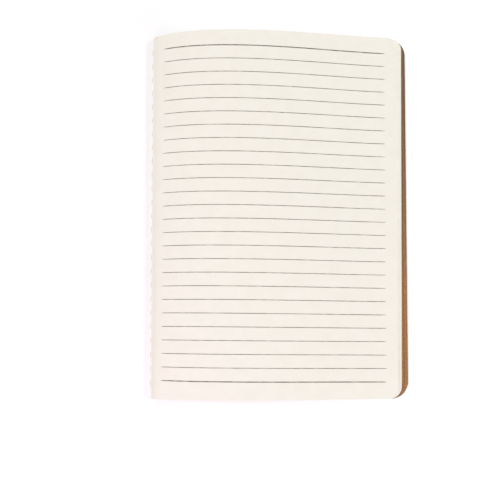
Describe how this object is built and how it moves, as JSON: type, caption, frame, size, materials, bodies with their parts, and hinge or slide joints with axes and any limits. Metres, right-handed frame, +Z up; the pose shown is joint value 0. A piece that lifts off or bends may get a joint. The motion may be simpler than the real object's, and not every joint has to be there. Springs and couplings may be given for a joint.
{
  "type": "open notebook",
  "caption": "Sewn A5 notebook with kraft card covers, opened at its centre spread and folded back on itself, ruled page up and gently bulging.",
  "frame": {"origin": "centre of the bounding box's bottom face, on the table that the left-hand page lies on", "axes": "+X from the sewn fold to the fore edge, +Y from the foot to the head of the page, +Z up"},
  "size_m": [0.1481, 0.21, 0.015],
  "materials": {
    "page_paper": "uncoated cream-white writing paper",
    "ruling_print": "pale grey printed line",
    "kraft_card": "brown kraft card with light and dark fibres",
    "sewing_thread": "cream twisted sewing thread"
  },
  "bodies": {
    "lower_half": {"left_pages": "page_paper", "left_ruling": "ruling_print", "front_cover": "kraft_card"},
    "sewn_fold": {"page_fold": "page_paper", "cover_spine": "kraft_card", "thread": "sewing_thread"},
    "upper_half": {"right_pages": "page_paper", "right_ruling": "ruling_print", "back_cover": "kraft_card"}
  },
  "joints": [
    {"name": "front_cover_turn", "type": "hinge", "parent": "lower_half", "child": "sewn_fold", "pos_m": [-0.07245, 0, 0.00085], "axis": [0, -1, 0], "range_deg": [0, 170]},
    {"name": "back_cover_turn", "type": "hinge", "parent": "sewn_fold", "child": "upper_half", "pos_m": [-0.07245, 0, 0.00385], "axis": [0, -1, 0], "range_deg": [0, 138]}
  ]
}
